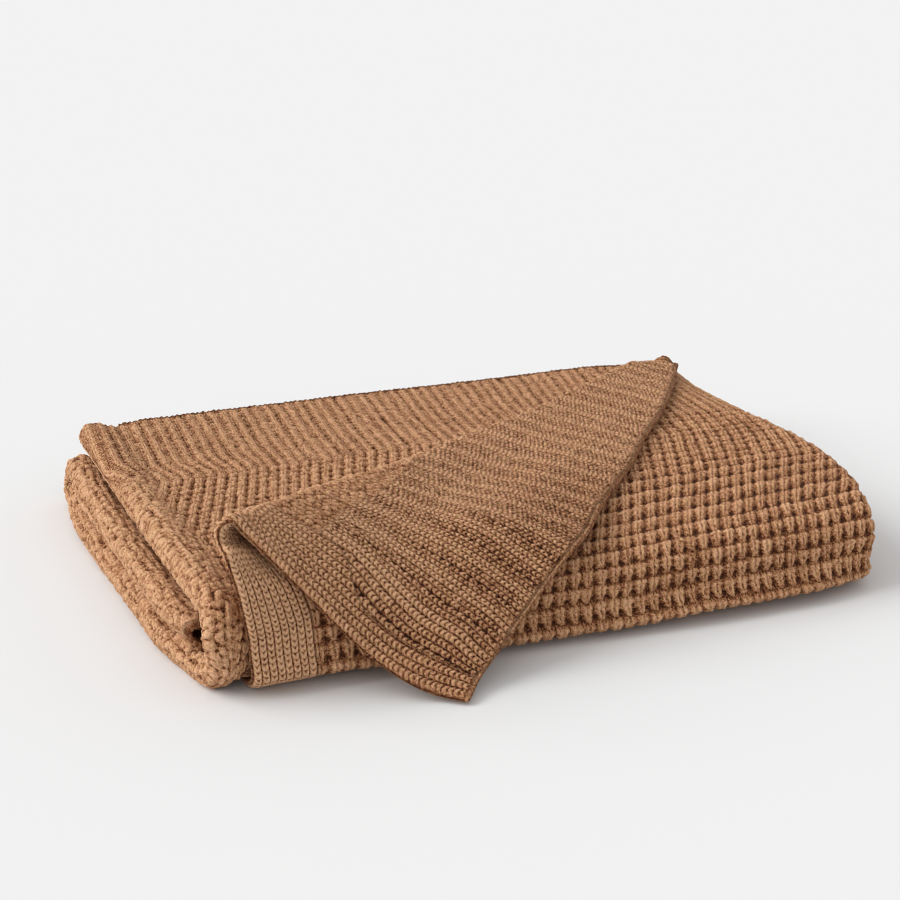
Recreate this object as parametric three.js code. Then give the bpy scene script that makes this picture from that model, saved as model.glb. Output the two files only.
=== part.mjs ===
// Knit throw blanket, folded in thirds both ways, with the loose back-left corner
// of its outermost layer turned over to the front.
//
// The blanket is one knitted sheet, so it is one closed solid: a single sheet of
// even thickness that is followed through all of its folds.
//
//   across (x): outer panel  -> right fold -> lower panel -> left fold -> inner panel
//   deep   (y): top section  -> front fold -> bottom section -> back fold -> middle section
//
// That makes nine layers on each other.  The outer panel of the top section is not
// flat: its corner is lifted, rolled over a slanting ridge and laid towards the front
// left, where its tip reaches the ground.
//
// Units are millimetres, +Z is up, +X runs along the long side from left to right,
// +Y from the front to the back.  The origin is the middle of the footprint.

import * as THREE from 'three';

// ---------------------------------------------------------------- driving sizes
const THICK = 5.6;            // thickness of the knit
const PITCH = 8.0;            // from the middle of one layer to the middle of the next
const HALF = THICK / 2;

const FRONT_Y = 34.8;         // centre line of the front fold
const BACK_Y = 418;           // centre line of the back fold
const TOP_EDGE_Y = 429;       // where the end edge of the top section lies, at its right
const MID_EDGE_Y = 40;        // where the end edge of the middle section lies
const SELVEDGE_X = 40;        // inset of the outer panel's side edge from the left
const SCURVE = 26;            // length over which the inner panel drops behind the left fold

const CROWN = 0.075;          // how much the pile is fuller in its middle
const SHOULDER = 0.11;        // how much it is lower along its front edge
const SAGGED = 15.5;          // how far the front fold settles forward close to the ground
const SPREAD = 6.5;           // how much further it does so towards the right
const ROUNDED = 14;           // how far the low front left corner is rounded off
const TRIMMED = 7;            // the same at the low front right corner
const FORWARD = 9;            // how far the front edge comes forward towards the right
const SLANT = 12;             // how much further back the end edge lies at the left
const ORIGIN = { x: 301.0, y: 184.5 };   // middle of the footprint in the working frame

// right end of the pile: further out at the back than at the front
const RIGHT_END = [
  { y: -40, x: 563 }, { y: 12, x: 566 }, { y: 36, x: 575 }, { y: 66, x: 587 }, { y: 138, x: 598 },
  { y: 234, x: 600 }, { y: 350, x: 604 }, { y: 430, x: 614 }, { y: 470, x: 616 },
];
// left end of each section, where its rounded fold is furthest out
const LEFT_END = [
  { section: 'top', x: 14, bulge: 2 }, { section: 'bottom', x: -3, bulge: 9 }, { section: 'middle', x: 0, bulge: 7 },
];

// height of the bundles' middle layers
const Z_BOTTOM = HALF + PITCH;
const Z_MIDDLE = Z_BOTTOM + 3 * PITCH;
const Z_TOP = Z_MIDDLE + 3 * PITCH;
const FRONT_R = 3 * PITCH;    // front fold, middle layer
const BACK_R = 1.5 * PITCH;   // back fold, middle layer

// ---------------------------------------------------------------- the turned corner
// share: 0 at the side edge, 1 at the right fold.  Points are on the middle of the knit.
// ridge: highest line of the turned-over cloth
const RIDGE = [
  { share: 0.00, x: 38, y: 28, z: 125 }, { share: 0.08, x: 69, y: 55, z: 118 },
  { share: 0.20, x: 137, y: 106, z: 107 }, { share: 0.35, x: 224, y: 164, z: 95 },
  { share: 0.50, x: 312, y: 231, z: 84.5 }, { share: 0.65, x: 400, y: 285, z: 80.5 },
  { share: 0.80, x: 492, y: 345, z: 78.8 }, { share: 0.96, x: 577, y: 399, z: 76.2 },
];
// back of the roll, measured from the ridge
const ROLL_BACK = [
  { share: 0.00, x: -10.5, y: 0, z: -7 }, { share: 0.08, x: -9, y: 9, z: -13 },
  { share: 0.20, x: -8, y: 10, z: -14 }, { share: 0.35, x: -6, y: 9, z: -11.5 },
  { share: 0.50, x: -3.5, y: 5.5, z: -6.2 }, { share: 0.65, x: -2.5, y: 4, z: -4.6 },
  { share: 0.80, x: -2.4, y: 3.6, z: -4.2 }, { share: 0.96, x: -2.4, y: 3.0, z: -3.6 },
];
// underside of the roll, measured from the ridge
const ROLL_UNDER = [
  { share: 0.00, x: -9, y: -12, z: -20 }, { share: 0.08, x: -8, y: -16, z: -24 },
  { share: 0.20, x: 1, y: -12, z: -28 }, { share: 0.35, x: 0, y: -6, z: -23 },
  { share: 0.50, x: 0, y: -2, z: -12.4 }, { share: 0.65, x: 0, y: -1, z: -9.2 },
  { share: 0.80, x: 0, y: -1, z: -8.2 }, { share: 0.96, x: 0, y: -1, z: -7.3 },
];
// the rising stretch between the front of the pile and the roll
const RISE = [
  { share: 0.00, x: 34.5, y: 4, z: 76, leave: 78 }, { share: 0.08, x: 74, y: 14, z: 75, leave: 62 },
  { share: 0.20, x: 144, y: 54, z: 74.5, leave: 22 }, { share: 0.35, x: 224, y: 95, z: 72, leave: 2 },
  { share: 0.50, x: 306, y: 130, z: 71.6, leave: 0 }, { share: 0.65, x: 392, y: 160, z: 71.6, leave: 0 },
  { share: 0.80, x: 484, y: 190, z: 70.6, leave: 0 }, { share: 0.96, x: 570, y: 225, z: 69.5, leave: 0 },
];
// the turned-over end edge, from its corner on the ground to the back right
const END_EDGE = [
  { share: 0.00, x: 177, y: -70, z: 2.8 }, { share: 0.03, x: 194, y: -57, z: 8 },
  { share: 0.08, x: 220, y: -38, z: 25 }, { share: 0.16, x: 262, y: -13, z: 52 },
  { share: 0.235, x: 302, y: 8, z: 74 }, { share: 0.36, x: 352, y: 65, z: 79 },
  { share: 0.49, x: 410, y: 128, z: 80 }, { share: 0.60, x: 452, y: 182, z: 80 },
  { share: 0.71, x: 504, y: 243, z: 79 }, { share: 0.80, x: 543, y: 296, z: 78 },
  { share: 0.90, x: 580, y: 350, z: 76 }, { share: 0.96, x: 597, y: 384, z: 75.6 },
];
// how far the turned corner sags below a straight line from ridge to end edge
const SAG = [
  { share: 0.00, high: -15, low: -24, tip: -15 }, { share: 0.08, high: -4, low: -8, tip: -1 },
  { share: 0.20, high: -4, low: 3, tip: 1 }, { share: 0.35, high: -6, low: 0, tip: 0 },
  { share: 0.50, high: -2, low: 0, tip: 0 }, { share: 0.65, high: 0, low: 0, tip: 0 },
  { share: 0.80, high: 0, low: 0, tip: 0 }, { share: 0.96, high: 0, low: 0, tip: 0 },
];
// the small lip where the ridge runs out at the back right corner
const LIP = [
  { share: 0.96, turn: 180, arc: 11.5, tail: 19, back: 31 },
  { share: 0.98, turn: 100, arc: 11, tail: 6, back: 24 },
  { share: 1.00, turn: 0, arc: 10.5, tail: 3, back: 13.5 },
];

// ---------------------------------------------------------------- rows and columns
const EDGE_ROWS = 6;          // end edge to roll
const ROLL_ROWS = 8;          // round the roll
const RISE_ROWS = 8;          // roll to front fold
const FRONT_ROWS = 9;         // round the front fold
const BOTTOM_ROWS = 4;
const BACK_ROWS = 7;          // round the back fold
const MIDDLE_ROWS = 4;
const TOP_ROWS = EDGE_ROWS + ROLL_ROWS + RISE_ROWS;
const SHARES = [0, 0.03, 0.08, 0.14, 0.2, 0.28, 0.36, 0.45, 0.55, 0.65, 0.75, 0.84, 0.91, 0.96, 0.98, 1];
const RIGHT_COLS = 6, LOWER_COLS = 5, LEFT_COLS = 6, DROP_COLS = 4, INNER_COLS = 4;

// ---------------------------------------------------------------- small helpers
const clamp = (v, a, b) => Math.min(b, Math.max(a, v));
const mix = (a, b, t) => a + (b - a) * t;
const soft = (t) => { const c = clamp(t, 0, 1); return c * c * (3 - 2 * c); };

// value of a named column at a key, by a smooth curve that does not overshoot
function read(table, key, k, name) {
  const n = table.length;
  if (k <= table[0][key]) return table[0][name];
  if (k >= table[n - 1][key]) return table[n - 1][name];
  let i = 0;
  while (k > table[i + 1][key]) i++;
  const slope = (a) => {
    const p = table[Math.max(0, a - 1)], q = table[a], r = table[Math.min(n - 1, a + 1)];
    if (p === q || q === r) return (r[name] - p[name]) / (r[key] - p[key]);
    const d0 = (q[name] - p[name]) / (q[key] - p[key]);
    const d1 = (r[name] - q[name]) / (r[key] - q[key]);
    return d0 * d1 <= 0 ? 0 : 2 * d0 * d1 / (d0 + d1);
  };
  const a = table[i], b = table[i + 1], h = b[key] - a[key], t = (k - a[key]) / h;
  const m0 = slope(i) * h, m1 = slope(i + 1) * h;
  const t2 = t * t, t3 = t2 * t;
  return (2 * t3 - 3 * t2 + 1) * a[name] + (t3 - 2 * t2 + t) * m0 + (3 * t2 - 2 * t3) * b[name] + (t3 - t2) * m1;
}
const point = (table, share) => new THREE.Vector3(
  read(table, 'share', share, 'x'), read(table, 'share', share, 'y'), read(table, 'share', share, 'z'));

// the pile is a little fuller in its middle and lower along its front edge
function fullness(x, y) {
  const across = 0.55 + 0.45 * Math.sin(Math.PI * clamp((x - 10) / 590, 0, 1));
  const deep = Math.sin(Math.PI * clamp((y + 20) / 470, 0, 1));
  const front = Math.exp(-Math.pow((y - 22) / 46, 2)) * soft((x - 60) / 120);
  const uneven = 0.012 * Math.sin(x / 71 + 0.6) * Math.sin(y / 53 + 0.3);
  return 1 + CROWN * across * deep - SHOULDER * front + uneven;
}

// where a place of the ideal pile really lies
function settle(v) {
  const front = 1 - soft((v.y - 35) / 100);
  const foot = (SAGGED + SPREAD * soft((v.x - 60) / 400)) * soft((v.x - 2) / 46) * (1 - 0.45 * soft((v.x - 490) / 80));
  const low = foot * Math.exp(-Math.pow((v.z - 8) / 16, 2));
  const forward = FORWARD * soft((v.x - 150) / 330);
  const corner = ROUNDED * (1 - soft((v.y - 5) / 110)) * (1 - soft((v.x + 4) / 48)) * (1 - soft((v.z - 18) / 34));
  const other = TRIMMED * (1 - soft((v.y - 8) / 60)) * soft((v.x - 515) / 55) * (1 - soft((v.z - 18) / 34));
  return new THREE.Vector3(v.x + corner - other, v.y - front * (low + forward), v.z * fullness(v.x, v.y));
}
// the opposite: which place of the ideal pile settles there
function unsettle(v) {
  const w = v.clone();
  for (let k = 0; k < 12; k++) {
    const reached = settle(w);
    w.add(v).sub(reached);
  }
  return w;
}

const rightEnd = (y) => read(RIGHT_END, 'y', y, 'x') - PITCH - HALF;   // centre of the right fold
function leftEnd(section, y) {                                         // centre of the left fold
  const row = LEFT_END.find((r) => r.section === section);
  return row.x - row.bulge * Math.sin(Math.PI * clamp(y / 440, 0, 1)) + PITCH + HALF;
}

// ---------------------------------------------------------------- the bundle's path
// A place on the path: its y, its height, which way is outwards there, and its ends.
function place(row) {
  const { section, s } = row;
  if (section === 'top') {
    return { top: true, y: s, z: Z_TOP, ny: 0, nz: 1, left: leftEnd('top', s), right: rightEnd(s) };
  }
  if (section === 'front') {
    const a = s * Math.PI;
    return {
      y: FRONT_Y - FRONT_R * Math.sin(a), z: (Z_TOP + Z_BOTTOM) / 2 + FRONT_R * Math.cos(a),
      ny: -Math.sin(a), nz: Math.cos(a),
      left: mix(leftEnd('top', FRONT_Y), leftEnd('bottom', FRONT_Y), soft(s)), right: rightEnd(FRONT_Y - FRONT_R * Math.sin(a)),
    };
  }
  if (section === 'bottom') {
    return { y: s, z: Z_BOTTOM, ny: 0, nz: -1, left: leftEnd('bottom', s), right: rightEnd(s) };
  }
  if (section === 'back') {
    const a = s * Math.PI;
    return {
      y: BACK_Y + BACK_R * Math.sin(a), z: (Z_MIDDLE + Z_BOTTOM) / 2 - BACK_R * Math.cos(a),
      ny: Math.sin(a), nz: -Math.cos(a),
      left: mix(leftEnd('bottom', BACK_Y), leftEnd('middle', BACK_Y), soft(s)), right: rightEnd(BACK_Y),
    };
  }
  return { y: s, z: Z_MIDDLE, ny: 0, nz: 1, left: leftEnd('middle', s), right: rightEnd(s) };
}
function lift(p, x, n) {
  const slant = p.top ? SLANT * (1 - soft((x - 250) / 230)) * soft((p.y - 240) / 180) : 0;
  return new THREE.Vector3(x, p.y + slant + p.ny * n, p.z + p.nz * n);
}

// rows of the plain cloth; `even` spreads the rows of the top section evenly, otherwise
// they keep close to the end edge, as they do at the right fold
function plainRow(j, even) {
  if (j <= TOP_ROWS) {
    const lip = LIP[LIP.length - 1], near = EDGE_ROWS + ROLL_ROWS, length = lip.arc + lip.tail;
    let bunched;
    if (j <= EDGE_ROWS) bunched = lip.tail * j / EDGE_ROWS;
    else if (j <= near) bunched = lip.tail + lip.arc * (j - EDGE_ROWS) / ROLL_ROWS;
    else bunched = length + (TOP_EDGE_Y - length - FRONT_Y) * (j - near) / RISE_ROWS;
    const spread = (TOP_EDGE_Y - FRONT_Y) * j / TOP_ROWS;
    return { section: 'top', s: TOP_EDGE_Y - mix(bunched, spread, even) };
  }
  let k = j - TOP_ROWS;
  if (k <= FRONT_ROWS) return { section: 'front', s: k / FRONT_ROWS };
  k -= FRONT_ROWS;
  if (k <= BOTTOM_ROWS) return { section: 'bottom', s: mix(FRONT_Y, BACK_Y, k / BOTTOM_ROWS) };
  k -= BOTTOM_ROWS;
  if (k <= BACK_ROWS) return { section: 'back', s: k / BACK_ROWS };
  k -= BACK_ROWS;
  return { section: 'middle', s: mix(BACK_Y, MID_EDGE_Y, k / MIDDLE_ROWS) };
}
const ROWS = TOP_ROWS + FRONT_ROWS + BOTTOM_ROWS + BACK_ROWS + MIDDLE_ROWS;

// ---------------------------------------------------------------- the outer panel
const outerX = (p, share) => mix(SELVEDGE_X, p.right, share);

// one lengthwise line of the outer panel's top section, from the end edge to the front fold
function turnedLine(share) {
  const leave = read(RISE, 'share', share, 'leave') / 180;
  const curve = [];
  for (const ahead of [0.06, 0]) {
    const p = place({ section: 'front', s: leave + ahead });
    curve.push(lift(p, outerX(p, share), PITCH));
  }
  const ridge = point(RIDGE, share), edge = point(END_EDGE, share);
  const back = point(ROLL_BACK, share).add(ridge), under = point(ROLL_UNDER, share).add(ridge);
  const high = ridge.clone().lerp(edge, 0.34), low = ridge.clone().lerp(edge, 0.66), tip = ridge.clone().lerp(edge, 0.85);
  high.z += read(SAG, 'share', share, 'high');
  low.z += read(SAG, 'share', share, 'low');
  tip.z += read(SAG, 'share', share, 'tip');
  // the roll is two quarter ellipses, with a short straight run on both its ends
  const rise = point(RISE, share), reach = Math.hypot(back.x - ridge.x, back.y - ridge.y);
  const quarter = (from, to, hub) => hub.clone().multiplyScalar(1 - Math.SQRT2).addScaledVector(from, Math.SQRT1_2).addScaledVector(to, Math.SQRT1_2);
  const upper = quarter(ridge, back, new THREE.Vector3(ridge.x, ridge.y, back.z));
  const lower = quarter(back, under, new THREE.Vector3(under.x, under.y, back.z));
  const crest = high.clone().sub(ridge).setLength(reach).add(ridge);
  const foot = rise.clone().sub(under).setLength(reach).add(under);
  const controls = [rise, foot, under, lower, back, upper, ridge, crest, high, low, tip, edge].map(unsettle);
  const path = new THREE.CatmullRomCurve3([...curve, ...controls], false, 'centripetal');
  const count = curve.length + controls.length - 1;
  const stops = { leave: 1 / count, foot: 3 / count, crest: 9 / count, edge: 1 };
  const line = [];
  for (let j = 0; j <= EDGE_ROWS; j++) line.push(path.getPoint(mix(stops.edge, stops.crest, j / EDGE_ROWS)));
  for (let j = 1; j <= ROLL_ROWS; j++) line.push(path.getPoint(mix(stops.crest, stops.foot, j / ROLL_ROWS)));
  for (let j = 1; j <= RISE_ROWS; j++) line.push(path.getPoint(mix(stops.foot, stops.leave, j / RISE_ROWS)));
  return { line, leave };
}

// near the back right corner the cloth only curls up in a small lip
function lipLine(share) {
  const row = (name) => read(LIP, 'share', share, name);
  const turn = row('turn') * Math.PI / 180, arc = row('arc'), tail = row('tail');
  const start = TOP_EDGE_Y - row('back') - 0.0001;
  const lean = new THREE.Vector2(-0.8, 0.6).lerp(new THREE.Vector2(0, 1), (share - LIP[0].share) / (1 - LIP[0].share)).normalize();
  const p = place({ section: 'top', s: start });
  const base = lift(p, outerX(p, share), PITCH);
  const at = (d) => {
    const bend = Math.min(d, arc) * turn / arc, r = turn > 1e-6 ? arc / turn : 0;
    let out = turn > 1e-6 ? r * Math.sin(bend) : Math.min(d, arc), up = turn > 1e-6 ? r * (1 - Math.cos(bend)) : 0;
    if (d > arc) { out += (d - arc) * Math.cos(turn); up += (d - arc) * Math.sin(turn); }
    return new THREE.Vector3(base.x + lean.x * out, base.y + lean.y * out, base.z + up);
  };
  const line = [];
  for (let j = 0; j <= EDGE_ROWS; j++) line.push(at(arc + tail * (1 - j / EDGE_ROWS)));
  for (let j = 1; j <= ROLL_ROWS; j++) line.push(at(arc * (1 - j / ROLL_ROWS)));
  for (let j = 1; j <= RISE_ROWS; j++) {
    const q = place({ section: 'top', s: mix(start, FRONT_Y, j / RISE_ROWS) });
    line.push(lift(q, outerX(q, share), PITCH));
  }
  return { line, leave: 0 };
}

function outerColumn(share) {
  const column = [];
  const { line, leave } = share <= LIP[0].share ? turnedLine(share) : lipLine(share);
  column.push(...line);
  for (let j = TOP_ROWS + 1; j <= ROWS; j++) {
    const row = plainRow(j, 0);
    if (row.section === 'front') row.s = mix(leave, 1, row.s);
    const p = place(row);
    column.push(lift(p, outerX(p, share), PITCH));
  }
  return column;
}

// ---------------------------------------------------------------- the whole sheet
function plainColumn(across, even) {
  const column = [];
  for (let j = 0; j <= ROWS; j++) {
    const p = place(plainRow(j, even));
    const { x, n } = across(p);
    column.push(lift(p, x, n));
  }
  return column;
}

const columns = SHARES.slice(0, -1).map(outerColumn);
for (let i = 0; i <= RIGHT_COLS; i++) {
  const a = Math.PI * i / RIGHT_COLS;
  columns.push(plainColumn((p) => ({ x: p.right + PITCH * Math.sin(a), n: PITCH * Math.cos(a) }), 0));
}
for (let i = 1; i <= LOWER_COLS; i++) {
  const t = i / LOWER_COLS;
  columns.push(plainColumn((p) => ({ x: mix(p.right, p.left, t), n: -PITCH }), t));
}
for (let i = 1; i <= LEFT_COLS; i++) {
  const a = Math.PI * i / LEFT_COLS;
  columns.push(plainColumn((p) => ({ x: p.left - PITCH * Math.sin(a), n: -PITCH * Math.cos(a) }), 1));
}
for (let i = 1; i <= DROP_COLS; i++) {
  const t = i / DROP_COLS;
  columns.push(plainColumn((p) => ({ x: p.left + SCURVE * t, n: PITCH * (1 - soft(t)) }), 1));
}
for (let i = 1; i <= INNER_COLS; i++) {
  const t = i / INNER_COLS;
  columns.push(plainColumn((p) => ({ x: mix(p.left + SCURVE, p.right - 5, t), n: 0 }), 1));
}

// both faces of the sheet, half a thickness off its middle
const NI = columns.length, NJ = ROWS + 1;
function normalAt(i, j) {
  const a = columns[Math.max(0, i - 1)][j], b = columns[Math.min(NI - 1, i + 1)][j];
  const c = columns[i][Math.max(0, j - 1)], d = columns[i][Math.min(NJ - 1, j + 1)];
  return new THREE.Vector3().subVectors(b, a).cross(new THREE.Vector3().subVectors(c, d)).normalize();
}
const vertices = [], faces = [];
for (const side of [1, -1]) {
  for (let i = 0; i < NI; i++) {
    for (let j = 0; j < NJ; j++) {
      const v = settle(normalAt(i, j).multiplyScalar(side * HALF).add(columns[i][j]));
      vertices.push(v.x - ORIGIN.x, v.y - ORIGIN.y, Math.max(0, v.z));
    }
  }
}
const id = (side, i, j) => side * NI * NJ + i * NJ + j;
const quad = (a, b, c, d) => faces.push(a, b, c, a, c, d);
for (let i = 0; i < NI - 1; i++) {
  for (let j = 0; j < NJ - 1; j++) {
    quad(id(0, i, j), id(0, i, j + 1), id(0, i + 1, j + 1), id(0, i + 1, j));
    quad(id(1, i, j), id(1, i + 1, j), id(1, i + 1, j + 1), id(1, i, j + 1));
  }
}
for (let i = 0; i < NI - 1; i++) {
  quad(id(0, i, 0), id(0, i + 1, 0), id(1, i + 1, 0), id(1, i, 0));
  quad(id(0, i + 1, NJ - 1), id(0, i, NJ - 1), id(1, i, NJ - 1), id(1, i + 1, NJ - 1));
}
for (let j = 0; j < NJ - 1; j++) {
  quad(id(0, 0, j + 1), id(0, 0, j), id(1, 0, j), id(1, 0, j + 1));
  quad(id(0, NI - 1, j), id(0, NI - 1, j + 1), id(1, NI - 1, j + 1), id(1, NI - 1, j));
}

const geometry = new THREE.BufferGeometry();
geometry.setAttribute('position', new THREE.Float32BufferAttribute(vertices, 3));
geometry.setIndex(faces);
geometry.computeVertexNormals();

const yarn = new THREE.MeshStandardMaterial({ name: 'knit', color: 0xa8784f, roughness: 0.95, metalness: 0 });
const throwBlanket = new THREE.Mesh(geometry, yarn);
throwBlanket.name = 'knit_throw';

const part = new THREE.Group();
part.add(throwBlanket);

export default part;
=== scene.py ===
# Knit throw blanket, folded in thirds both ways, with one corner of its top layer
# turned over.  The plain folded sheet is followed here by a fine knitted surface:
# the stitches are real relief on both faces, worked out in the cloth's own
# coordinates (along and across the wales), so they bend with every fold.
import math
import bpy
import numpy as np
from mathutils import Matrix, Vector


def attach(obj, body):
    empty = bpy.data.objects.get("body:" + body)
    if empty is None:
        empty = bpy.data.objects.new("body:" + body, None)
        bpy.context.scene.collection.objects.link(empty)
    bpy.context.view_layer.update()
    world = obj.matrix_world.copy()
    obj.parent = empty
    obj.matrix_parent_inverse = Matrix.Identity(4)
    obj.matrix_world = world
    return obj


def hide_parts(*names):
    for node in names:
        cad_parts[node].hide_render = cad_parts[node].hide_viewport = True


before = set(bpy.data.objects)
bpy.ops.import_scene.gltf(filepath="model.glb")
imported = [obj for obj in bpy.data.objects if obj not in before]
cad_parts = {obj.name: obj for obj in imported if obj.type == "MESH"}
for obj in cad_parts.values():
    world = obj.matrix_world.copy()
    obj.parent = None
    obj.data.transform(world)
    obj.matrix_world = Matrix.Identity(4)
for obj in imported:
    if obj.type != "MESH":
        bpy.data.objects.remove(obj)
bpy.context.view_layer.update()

# ------------------------------------------------------------ sizes, millimetres
THICK, PITCH = 5.6, 8.0        # thickness of the knit; middle of one layer to the middle of the next
HALF = THICK / 2
FRONT_Y, BACK_Y, TOP_EDGE_Y, MID_EDGE_Y = 34.8, 418.0, 429.0, 40.0
SELVEDGE_X, SCURVE = 40.0, 26.0
CROWN, SHOULDER, SAGGED, SPREAD, ROUNDED, TRIMMED = 0.075, 0.11, 15.5, 6.5, 14.0, 7.0
FORWARD, SLANT = 9.0, 12.0
ORIGIN = (301.0, 184.5)
Z_BOTTOM = HALF + PITCH
Z_MIDDLE = Z_BOTTOM + 3 * PITCH
Z_TOP = Z_MIDDLE + 3 * PITCH
FRONT_R, BACK_R = 3 * PITCH, 1.5 * PITCH
RIGHT_END = np.array([(-40, 563), (12, 566), (36, 575), (66, 587), (138, 598), (234, 600), (350, 604), (430, 614), (470, 616)], float)
LEFT_END = {"top": (14, 2), "bottom": (-3, 9), "middle": (0, 7)}
RIDGE = np.array([(0.00, 38, 28, 125), (0.08, 69, 55, 118), (0.20, 137, 106, 107), (0.35, 224, 164, 95), (0.50, 312, 231, 84.5), (0.65, 400, 285, 80.5), (0.80, 492, 345, 78.8), (0.96, 577, 399, 76.2)])
ROLL_BACK = np.array([(0.00, -10.5, 0, -7), (0.08, -9, 9, -13), (0.20, -8, 10, -14), (0.35, -6, 9, -11.5), (0.50, -3.5, 5.5, -6.2), (0.65, -2.5, 4, -4.6), (0.80, -2.4, 3.6, -4.2), (0.96, -2.4, 3.0, -3.6)])
ROLL_UNDER = np.array([(0.00, -9, -12, -20), (0.08, -8, -16, -24), (0.20, 1, -12, -28), (0.35, 0, -6, -23), (0.50, 0, -2, -12.4), (0.65, 0, -1, -9.2), (0.80, 0, -1, -8.2), (0.96, 0, -1, -7.3)])
RISE = np.array([(0.00, 34.5, 4, 76, 78), (0.08, 74, 14, 75, 62), (0.20, 144, 54, 74.5, 22), (0.35, 224, 95, 72, 2), (0.50, 306, 130, 71.6, 0), (0.65, 392, 160, 71.6, 0), (0.80, 484, 190, 70.6, 0), (0.96, 570, 225, 69.5, 0)])
END_EDGE = np.array([(0.00, 177, -70, 2.8), (0.03, 194, -57, 8), (0.08, 220, -38, 25), (0.16, 262, -13, 52), (0.235, 302, 8, 74), (0.36, 352, 65, 79), (0.49, 410, 128, 80), (0.60, 452, 182, 80), (0.71, 504, 243, 79), (0.80, 543, 296, 78), (0.90, 580, 350, 76), (0.96, 597, 384, 75.6)])
SAG = np.array([(0.00, -15, -24, -15), (0.08, -4, -8, -1), (0.20, -4, 3, 1), (0.35, -6, 0, 0), (0.50, -2, 0, 0), (0.65, 0, 0, 0), (0.80, 0, 0, 0), (0.96, 0, 0, 0)])
LIP = np.array([(0.96, 180, 11.5, 19, 31), (0.98, 100, 11, 6, 24), (1.00, 0, 10.5, 3, 13.5)])

def soft(t):
    c = np.clip(t, 0, 1)
    return c * c * (3 - 2 * c)

def read(table, k, column=1):
    """Value of a column at the key k (first column), by a smooth curve that does not overshoot."""
    keys, vals = table[:, 0], table[:, column]
    k = np.clip(np.asarray(k, float), keys[0], keys[-1])
    d = np.diff(vals) / np.diff(keys)
    m = np.empty(len(keys))
    m[0], m[-1] = d[0], d[-1]
    p = d[:-1] * d[1:]
    q = d[:-1] + d[1:]
    m[1:-1] = np.where(p > 0, 2 * p / np.where(p > 0, q, 1), 0)
    i = np.clip(np.searchsorted(keys, k, side="right") - 1, 0, len(keys) - 2)
    h = keys[i + 1] - keys[i]
    t = (k - keys[i]) / h
    t2, t3 = t * t, t * t * t
    return (2 * t3 - 3 * t2 + 1) * vals[i] + (t3 - 2 * t2 + t) * m[i] * h + (3 * t2 - 2 * t3) * vals[i + 1] + (t3 - t2) * m[i + 1] * h

def point(table, s):
    return np.stack([read(table, s, c) for c in (1, 2, 3)], -1)

def fullness(x, y):
    across = 0.55 + 0.45 * np.sin(np.pi * np.clip((x - 10) / 590, 0, 1))
    deep = np.sin(np.pi * np.clip((y + 20) / 470, 0, 1))
    front = np.exp(-(((y - 22) / 46) ** 2)) * soft((x - 60) / 120)
    return 1 + CROWN * across * deep - SHOULDER * front + 0.012 * np.sin(x / 71 + 0.6) * np.sin(y / 53 + 0.3)

def settle(v):
    x, y, z = v[..., 0], v[..., 1], v[..., 2]
    front = 1 - soft((y - 35) / 100)
    foot = (SAGGED + SPREAD * soft((x - 60) / 400)) * soft((x - 2) / 46) * (1 - 0.45 * soft((x - 490) / 80))
    low = foot * np.exp(-(((z - 8) / 16) ** 2))
    forward = FORWARD * soft((x - 150) / 330)
    corner = ROUNDED * (1 - soft((y - 5) / 110)) * (1 - soft((x + 4) / 48)) * (1 - soft((z - 18) / 34))
    other = TRIMMED * (1 - soft((y - 8) / 60)) * soft((x - 515) / 55) * (1 - soft((z - 18) / 34))
    return np.stack([x + corner - other, y - front * (low + forward), z * fullness(x, y)], -1)

def ease(v):
    """The bottom fold lifts a little off the floor along the front and at the right end."""
    x, y, z = v[..., 0], v[..., 1], v[..., 2]
    low = 1 - soft((z - 4) / 30)
    ahead = (1 - soft((y + 12) / 40)) * (soft((x - 330) / 80) + 1 - soft((x - 110) / 50))
    right = soft((x - 545) / 60)
    left = 1 - soft(x / 70)
    along = 4.0 * np.exp(-(((y - 150) / 100) ** 2)) - 4.0 * np.exp(-(((y - 345) / 50) ** 2))
    hem = np.exp(-(((x - 200) / 22) ** 2) - (((y + 52) / 20) ** 2)) * (1 - soft((z - 30) / 20))
    behind = soft((y - 330) / 90) * soft((x - 20) / 60) * (1 - soft((x - 520) / 60))
    return np.stack([
        x - 5.5 * right * (1 - soft(z / 40)) + along * left * (1 - soft((z - 20) / 40)) - 6.5 * hem,
        y,
        z * (1 + 0.055 * behind) + low * (3.0 * ahead + 6.0 * right),
    ], -1)


def unsettle(v):
    w = v.copy()
    for _ in range(12):
        w = w + (v - settle(w))
    return w

def right_end(y):
    return read(RIGHT_END, y) - PITCH - HALF

def left_end(section, y):
    x, bulge = LEFT_END[section]
    return x - bulge * np.sin(np.pi * np.clip(y / 440, 0, 1)) + PITCH + HALF

def place(section, s):
    """y, z, outward y and z, left and right fold centres at a place of the bundle's path."""
    s = np.asarray(s, float)
    one = np.ones_like(s)
    if section == "top":
        return s, Z_TOP * one, 0 * one, one, left_end("top", s), right_end(s)
    if section == "front":
        a = s * np.pi
        y = FRONT_Y - FRONT_R * np.sin(a)
        lt, lb = left_end("top", FRONT_Y), left_end("bottom", FRONT_Y)
        return y, (Z_TOP + Z_BOTTOM) / 2 + FRONT_R * np.cos(a), -np.sin(a), np.cos(a), lt + (lb - lt) * soft(s), right_end(y)
    if section == "bottom":
        return s, Z_BOTTOM * one, 0 * one, -one, left_end("bottom", s), right_end(s)
    if section == "back":
        a = s * np.pi
        lb, lm = left_end("bottom", BACK_Y), left_end("middle", BACK_Y)
        return BACK_Y + BACK_R * np.sin(a), (Z_MIDDLE + Z_BOTTOM) / 2 - BACK_R * np.cos(a), np.sin(a), -np.cos(a), lb + (lm - lb) * soft(s), right_end(BACK_Y) * one
    return s, Z_MIDDLE * one, 0 * one, one, left_end("middle", s), right_end(s)

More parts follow.
